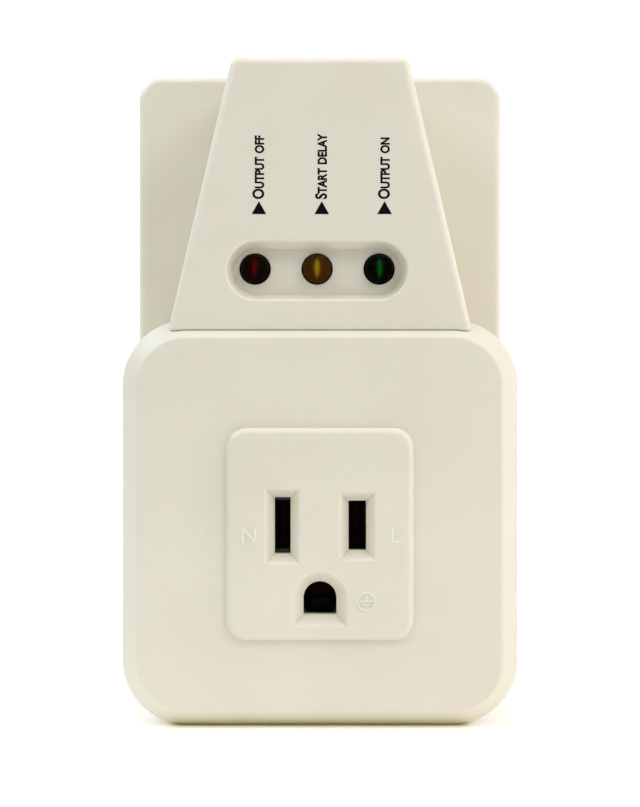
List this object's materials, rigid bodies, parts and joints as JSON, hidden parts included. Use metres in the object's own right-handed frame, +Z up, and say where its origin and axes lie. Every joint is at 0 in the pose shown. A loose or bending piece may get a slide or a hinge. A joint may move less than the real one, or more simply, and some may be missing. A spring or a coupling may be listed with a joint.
{
  "type": "appliance voltage protector",
  "caption": "Plug-through voltage protector: a grounded outlet block under a tapered tower with three indicator lamps, and a grounded plug on its back.",
  "frame": {"origin": "middle of the case's bottom face, half way between the block's front and the back", "axes": "+X to the right seen from the front, +Y towards the wall and the plug, +Z up"},
  "size_m": [0.068, 0.0622, 0.1165],
  "materials": {
    "cover_plastic": "fine satin moulding",
    "shell_plastic": "fine satin moulding",
    "screw_steel": "zinc plated",
    "blade_brass": "rolled strip",
    "copper_strip": "rolled copper alloy strip",
    "inner_plastic": "moulded insulator",
    "base_plastic": "moulded black insulator",
    "board_laminate": "lacquered laminate",
    "red_lens": "clear tinted resin",
    "amber_lens": "clear tinted resin",
    "green_lens": "clear tinted resin",
    "tinned_wire": "tinned",
    "wire_insulation": "smooth insulation",
    "relay_plastic": "moulded",
    "relay_iron": "nickel plated iron",
    "film_box": "moulded box",
    "sleeve_blue": "shrunk sleeve",
    "disc_coating": "dipped coating",
    "fuse_glass": "glass tube with metal caps",
    "part_body": "moulded body",
    "resistor_body": "lacquered body"
  },
  "bodies": {
    "case": {"outlet_cover": "cover_plastic", "upper_cover": "cover_plastic", "rear_shell": "shell_plastic", "case_screws": "screw_steel", "neutral_blade": "blade_brass", "line_blade": "blade_brass", "earth_pin": "blade_brass", "blade_clamp": "inner_plastic", "clamp_screws": "screw_steel", "socket_base": "base_plastic", "socket_screws": "screw_steel", "neutral_contact": "copper_strip", "line_contact": "copper_strip", "earth_contact": "copper_strip", "neutral_strap": "copper_strip", "line_in_strap": "copper_strip", "line_out_strap": "copper_strip", "earth_strap": "copper_strip", "circuit_board": "board_laminate", "board_screws": "screw_steel", "indicator_board": "board_laminate", "indicator_screws": "screw_steel", "red_lamp": "red_lens", "amber_lamp": "amber_lens", "green_lamp": "green_lens", "lamp_leads": "tinned_wire", "indicator_wires": "wire_insulation", "relay_base": "relay_plastic", "relay_cover": "relay_plastic", "relay_yoke": "relay_iron", "relay_core": "relay_iron", "relay_bobbin": "inner_plastic", "relay_coil": "copper_strip", "relay_fixed_contacts": "copper_strip", "relay_pins": "tinned_wire", "film_capacitor": "film_box", "filter_capacitors": "sleeve_blue", "surge_disc": "disc_coating", "fuse": "fuse_glass", "fuse_clips": "copper_strip", "diodes": "part_body", "resistors": "resistor_body", "control_chip": "part_body", "chip_legs": "tinned_wire", "transistor": "part_body"},
    "armature": {"relay_armature": "relay_iron", "relay_moving_contact": "copper_strip"}
  },
  "joints": [
    {"name": "armature_hinge", "type": "hinge", "parent": "case", "child": "armature", "pos_m": [-0.00806, -0.00154, 0.05883], "axis": [0, 0, 1], "range_deg": [0, 3.4], "stiffness_Nm_per_rad": 0.01, "springref_deg": -5.73}
  ]
}
